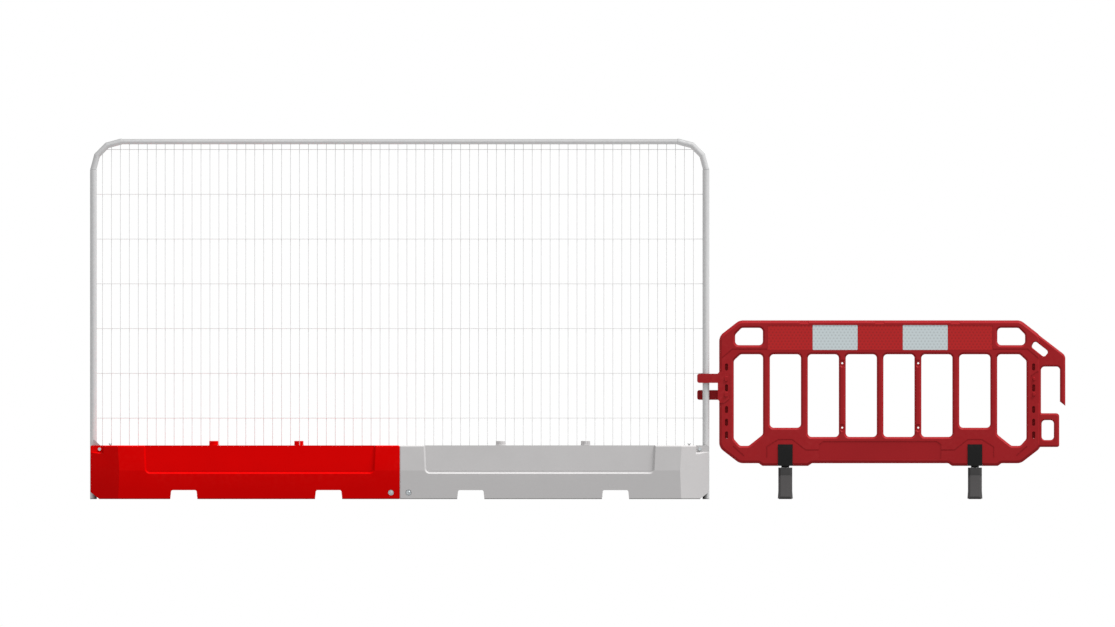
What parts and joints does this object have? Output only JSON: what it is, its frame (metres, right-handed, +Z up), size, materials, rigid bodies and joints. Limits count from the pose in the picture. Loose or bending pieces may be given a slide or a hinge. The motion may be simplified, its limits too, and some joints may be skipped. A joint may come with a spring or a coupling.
{
  "type": "barricade run",
  "caption": "Ballasted mesh fence panel with a moulded pedestrian barrier clipped to its end post on swivel feet.",
  "frame": {"origin": "middle of the run's length and depth, on the ground", "axes": "+X along the run from the fence's free end to the barrier's hook, -Y towards the front, +Z up"},
  "size_m": [5.4472, 0.56, 2.0133],
  "materials": {
    "red_block_plastic": "moulded polyethylene, satin",
    "white_block_plastic": "moulded polyethylene, off-white, satin",
    "water": "still water, hidden inside the blocks",
    "black_plastic": "black nylon, fine texture",
    "galvanised_steel": "hot-dip galvanised, dull spangle",
    "gusset_steel": "hot-dip galvanised plate, weathered",
    "wire": "galvanised welded wire",
    "zinc_fasteners": "zinc plated",
    "spring_steel": "dark spring steel",
    "seal_rubber": "black rubber",
    "barrier_plastic": "moulded polyethylene, dark red, satin",
    "red_sheeting": "prismatic reflective sheeting, red",
    "white_sheeting": "prismatic reflective sheeting, white",
    "foot_plastic": "recycled plastic, dark grey, rough",
    "bush_nylon": "natural nylon"
  },
  "bodies": {
    "root": {"base_block_red": "red_block_plastic", "base_block_white": "white_block_plastic", "bottom_rail": "galvanised_steel", "clamp_bolts": "zinc_fasteners", "clamp_nuts": "zinc_fasteners", "clamp_washers": "zinc_fasteners", "corner_bend_left": "galvanised_steel", "corner_bend_right": "galvanised_steel", "corner_gussets": "gusset_steel", "fence_post_left": "galvanised_steel", "fence_post_right": "galvanised_steel", "filler_seals": "seal_rubber", "joint_bolts": "zinc_fasteners", "joint_nuts": "zinc_fasteners", "joint_tie_bar": "zinc_fasteners", "joint_washers": "zinc_fasteners", "mesh_level_wires": "wire", "mesh_upright_wires": "wire", "post_plugs": "black_plastic", "rail_spring_clips": "spring_steel", "top_rail": "galvanised_steel", "water_ballast_left": "water", "water_ballast_right": "water"},
    "barrier": {"barrier_panel": "barrier_plastic", "reflective_sheets_red": "red_sheeting", "reflective_sheets_white": "white_sheeting", "link_clip": "barrier_plastic", "link_clip_pegs": "barrier_plastic", "foot_clip_left": "black_plastic", "foot_clip_right": "black_plastic", "pivot_bolt_left": "zinc_fasteners", "pivot_bolt_right": "zinc_fasteners"},
    "foot_left": {"swivel_foot_left": "foot_plastic", "foot_bush_left": "bush_nylon", "foot_pads_left": "seal_rubber"},
    "drain_left": {"drain_plug_left": "black_plastic"},
    "cap_left_outer": {"filler_cap_left_outer": "red_block_plastic"},
    "cap_left_inner": {"filler_cap_left_inner": "red_block_plastic"},
    "foot_right": {"swivel_foot_right": "foot_plastic", "foot_bush_right": "bush_nylon", "foot_pads_right": "seal_rubber"},
    "drain_right": {"drain_plug_right": "black_plastic"},
    "cap_right_outer": {"filler_cap_right_outer": "white_block_plastic"},
    "cap_right_inner": {"filler_cap_right_inner": "white_block_plastic"}
  },
  "joints": [
    {"name": "barrier_swing", "type": "hinge", "parent": "root", "child": "barrier", "pos_m": [0.7164, 0, 0.6], "axis": [0, 0, 1], "range_deg": [-60, 60]},
    {"name": "foot_turn_left", "type": "hinge", "parent": "barrier", "child": "foot_left", "pos_m": [1.1595, 0, 0.09], "axis": [0, 0, 1], "range_deg": [0, 90]},
    {"name": "foot_turn_right", "type": "hinge", "parent": "barrier", "child": "foot_right", "pos_m": [2.2185, 0, 0.09], "axis": [0, 0, 1], "range_deg": [0, 90]},
    {"name": "cap_lift_left_outer", "type": "slide", "parent": "root", "child": "cap_left_outer", "axis": [0, 0, 1], "range_m": [0, 0.06]},
    {"name": "cap_lift_left_inner", "type": "slide", "parent": "root", "child": "cap_left_inner", "axis": [0, 0, 1], "range_m": [0, 0.06]},
    {"name": "cap_lift_right_outer", "type": "slide", "parent": "root", "child": "cap_right_outer", "axis": [0, 0, 1], "range_m": [0, 0.06]},
    {"name": "cap_lift_right_inner", "type": "slide", "parent": "root", "child": "cap_right_inner", "axis": [0, 0, 1], "range_m": [0, 0.06]},
    {"name": "drain_pull_left", "type": "slide", "parent": "root", "child": "drain_left", "axis": [-1, 0, 0], "range_m": [0, 0.06]},
    {"name": "drain_pull_right", "type": "slide", "parent": "root", "child": "drain_right", "axis": [1, 0, 0], "range_m": [0, 0.06]}
  ]
}
